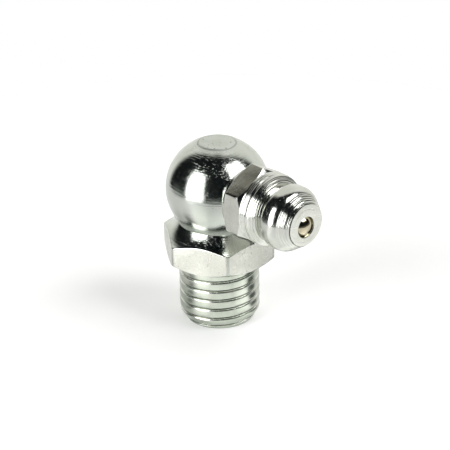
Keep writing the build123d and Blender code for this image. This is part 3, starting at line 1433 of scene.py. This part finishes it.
@dataclass(frozen=True)
class Panel:
    """A soft-edged panel of the studio, or a painted pool of light or painted shadow on the floor,
    as the nipple sees it. Angles in degrees.

    Attributes:
        name: what the panel is called.
        azimuth: direction of its middle about Z, from +X.
        elevation: how far its middle stands above the horizon, below 0 for one on the floor.
        half_width: how far it reaches to each side.
        half_height: how far it reaches up and down.
        softness: how far its edge fades, each way.
        tilt: how far it is turned about its middle.
        light: its colour and brightness, 1 being the white of paper; for a painted shadow, the
            floor colour it paints.
    """

    name: str
    azimuth: float
    elevation: float
    half_width: float
    half_height: float
    softness: float
    tilt: float
    light: Colour

    def lit(self, sheet: NodeSheet, direction: Socket) -> Socket:
        """Adds the nodes that tell how much of a direction the panel fills.

        Args:
            sheet: the node sheet of the room or the floor.
            direction: the direction looked in.

        Returns:
            1 inside the panel, 0 outside it, and between the two at its edge.
        """
        turned = sheet.add("VectorRotate", {"Vector": direction,
                                            "Angle": -math.radians(self.azimuth)},
                           rotation_type="Z_AXIS")
        x, y, z = sheet.add("SeparateXYZ", {0: turned.outputs[0]}).outputs
        across = sheet.math("ARCTAN2", y, x)
        height = sheet.math("SUBTRACT", sheet.math("ARCSINE", z), math.radians(self.elevation))
        turn = math.radians(self.tilt)
        shares = []
        for first, second, reach in ((math.cos(turn), math.sin(turn), self.half_width),
                                     (-math.sin(turn), math.cos(turn), self.half_height)):
            angle = sheet.math("ABSOLUTE", sheet.plus(sheet.math("MULTIPLY", across, first),
                                                      height, second))
            edge = [math.radians(reach + side * self.softness) for side in (1, -1)]
            shares.append(sheet.spread(angle, *edge))
        return sheet.math("MULTIPLY", *shares)


@dataclass
class Studio:
    """Floor, soft lights and camera. Millimetres, but for the camera's own values.

    Attributes whose names don't say it all:
        camera_azimuth: how far the camera has gone round Z from -Y, in degrees.
        camera_side: how far it stands to its own right.
        aim_height: the height that it is aimed at.
        focal_pixels: its focal length, in pixels of a square frame of frame_pixels.
        sensor: width of its sensor.
        clip_start: nearest distance that it shows, in metres.
        paper: the floor's colour as the camera sees it.
        paper_glow: the light that the camera sees the floor give off.
        panels: lit panels of the room.
        painted_glows: pools of light painted into the floor as glow, which only the metal sees.
        painted_shadows: shadows painted into the floor, which only the metal sees.
        dark: the room's colour between the panels.
    """

    floor_height: float = -6.5
    camera_azimuth: float = 47.747
    camera_elevation: float = 26.845
    camera_roll: float = -0.983
    camera_distance: float = 210.765
    camera_side: float = 0.632
    aim_height: float = 3.117
    focal_pixels: float = 2173.3
    frame_pixels: float = 450.0
    sensor: float = 36.0
    clip_start: float = 0.002
    floor_radius: float = 60.0
    floor_columns: int = 96
    paper: tuple[float, ...] = (0.86, 0.86, 0.86, 1.0)
    paper_glow: tuple[float, ...] = (0.2, 0.2, 0.2, 1.0)
    panels: tuple[Panel, ...] = (
        Panel("low_sheet", -42.0, -22.0, 110.0, 15.0, 10.0, 0.0, (0.26, 0.28, 0.26)),
        Panel("left_softbox", -96.0, 16.0, 18.5, 25.0, 6.0, 6.0, (6.5, 6.5, 6.5)),
        Panel("right_softbox", 25.0, 46.0, 25.0, 14.0, 3.5, -14.0, (7.5, 7.5, 7.5)),
        Panel("back_sheet", 131.0, 24.0, 56.0, 55.0, 8.0, 0.0, (1.0, 1.0, 0.95)),
    )
    # Painted light: glowing patches on the floor where it is brightly lit, seen only in
    # reflections.
    painted_glows: tuple[Panel, ...] = (
        Panel("left_card", -83.0, -30.0, 18.0, 17.0, 6.0, 0.0, (0.4, 0.4, 0.36)),
        Panel("right_card", 11.0, -30.0, 18.0, 17.0, 6.0, 0.0, (0.42, 0.43, 0.4)),
        Panel("front_card", -38.0, -38.0, 26.0, 20.0, 8.0, 0.0, (0.32, 0.34, 0.31)),
    )
    # Painted shadows: dark patches on the floor where the nipple's shadows fall, seen only in
    # reflections.
    painted_shadows: tuple[Panel, ...] = (
        Panel("left_flag", -118.0, -33.0, 9.0, 11.0, 5.0, 0.0, (0.3, 0.31, 0.3)),
        Panel("right_flag", 45.0, -33.0, 13.0, 13.0, 4.0, 0.0, (0.05, 0.06, 0.05)),
    )
    dark: Colour = (0.006, 0.008, 0.009)

    def build_camera(self) -> None:
        """Sets up the camera at its measured angle."""
        az, el, roll = (math.radians(v) for v in
                        (self.camera_azimuth, self.camera_elevation, self.camera_roll))
        back = Vector((math.sin(az) * math.cos(el), -math.cos(az) * math.cos(el), math.sin(el)))
        level = Vector((math.cos(az), math.sin(az), 0.0))
        right = math.cos(roll) * level + math.sin(roll) * back.cross(level)
        up = back.cross(right)
        eye = self.camera_distance * back + self.camera_side * right
        eye.z += self.aim_height
        deselect_all()
        bpy.ops.object.camera_add()
        camera = bpy.context.object
        turn = Matrix((right, up, back)).transposed().to_4x4()
        camera.matrix_world = Matrix.Translation(eye * MM) @ turn
        camera.data.sensor_width = self.sensor
        camera.data.lens = self.sensor * self.focal_pixels / self.frame_pixels
        camera.data.clip_start = self.clip_start
        bpy.context.scene.camera = camera

    def build_floor(self) -> None:
        """Lays the round pale floor under the stud, with painted pools of light and painted shadows
        that only the metal sees.
        """
        deselect_all()
        bpy.ops.mesh.primitive_circle_add(
            vertices=self.floor_columns, radius=self.floor_radius * MM, fill_type="NGON",
            location=(0, 0, self.floor_height * MM))
        floor = bpy.context.object
        floor.name = "floor"
        bpy.ops.object.transform_apply(location=True, rotation=True, scale=True)
        paper = bpy.data.materials.new("white_paper")
        paper.use_nodes = True
        shader = paper.node_tree.nodes["Principled BSDF"]
        shader.inputs["Roughness"].default_value = 0.5
        sheet = NodeSheet(paper.node_tree)
        place = sheet.add("TexCoord").outputs["Object"]
        direction = sheet.vector("NORMALIZE", place)
        glow: object = (0.0, 0.0, 0.0, 1.0)
        base: object = self.paper
        # Painted pools of light make the floor glow for every ray but the camera's.
        for painted_glow in self.painted_glows:
            glow = sheet.blend(painted_glow.lit(sheet, direction), glow, (*painted_glow.light, 1.0))
        # Painted shadows darken the floor's colour for every ray but the camera's.
        for painted_shadow in self.painted_shadows:
            base = sheet.blend(painted_shadow.lit(sheet, direction), base, (*painted_shadow.light, 1.0))
        seen = sheet.add("LightPath").outputs["Is Camera Ray"]
        glow = sheet.blend(seen, glow, self.paper_glow)
        base = sheet.blend(seen, base, self.paper)
        sheet.feed(glow, shader.inputs["Emission Color"])
        sheet.feed(base, shader.inputs["Base Color"])
        shader.inputs["Emission Strength"].default_value = 1.0
        floor.data.materials.append(paper)

    def build_surroundings(self) -> None:
        """Makes the room that the metal mirrors: dark, with lit panels. The camera sees white."""
        world = bpy.data.worlds.new("room")
        bpy.context.scene.world = world
        world.use_nodes = True
        sheet = NodeSheet(world.node_tree)
        direction = sheet.add("TexCoord").outputs["Generated"]
        seen: object = (*self.dark, 1.0)
        for panel in self.panels:
            seen = sheet.blend(panel.lit(sheet, direction), seen, (*panel.light, 1.0))
            log.info("panel %s", panel.name)
        room = world.node_tree.nodes["Background"]
        sheet.feed(seen, room.inputs["Color"])
        white = sheet.add("Background", {"Color": (1.0, 1.0, 1.0, 1.0)})
        mix = sheet.add("MixShader", {0: sheet.add("LightPath").outputs["Is Camera Ray"],
                                      1: room.outputs[0], 2: white.outputs[0]})
        surface = world.node_tree.nodes["World Output"].inputs["Surface"]
        sheet.feed(mix.outputs[0], surface)

    def build(self) -> None:
        """Sets up the whole studio."""
        bpy.context.scene.view_settings.view_transform = "Standard"
        self.build_camera()
        self.build_floor()
        self.build_surroundings()


def main() -> None:
    """Builds the nipple's pieces, dresses them and sets up the studio."""
    logging.basicConfig(level=logging.INFO, format="%(name)s: %(message)s")
    Studio().build()
    effects = Effects()
    valve = CheckValve()
    pieces = [
        NippleBody().build(*(finish.material(effects) for finish in (
            BODY_FINISH, THREAD_FINISH, FLAT_FINISH))),
        CouplerHead().build(*(finish.material(effects) for finish in (
            HEAD_FINISH, ROOT_FINISH, SHADED_ROOT_FINISH, FACE_FINISH))),
        valve.build_ball(BALL_FINISH.material(effects)),
        valve.build_spring(WIRE_FINISH.material(effects)),
    ]
    for piece in pieces:
        log.info("piece %s: %d faces", piece.name, len(piece.data.polygons))


if __name__ == "__main__":
    main()
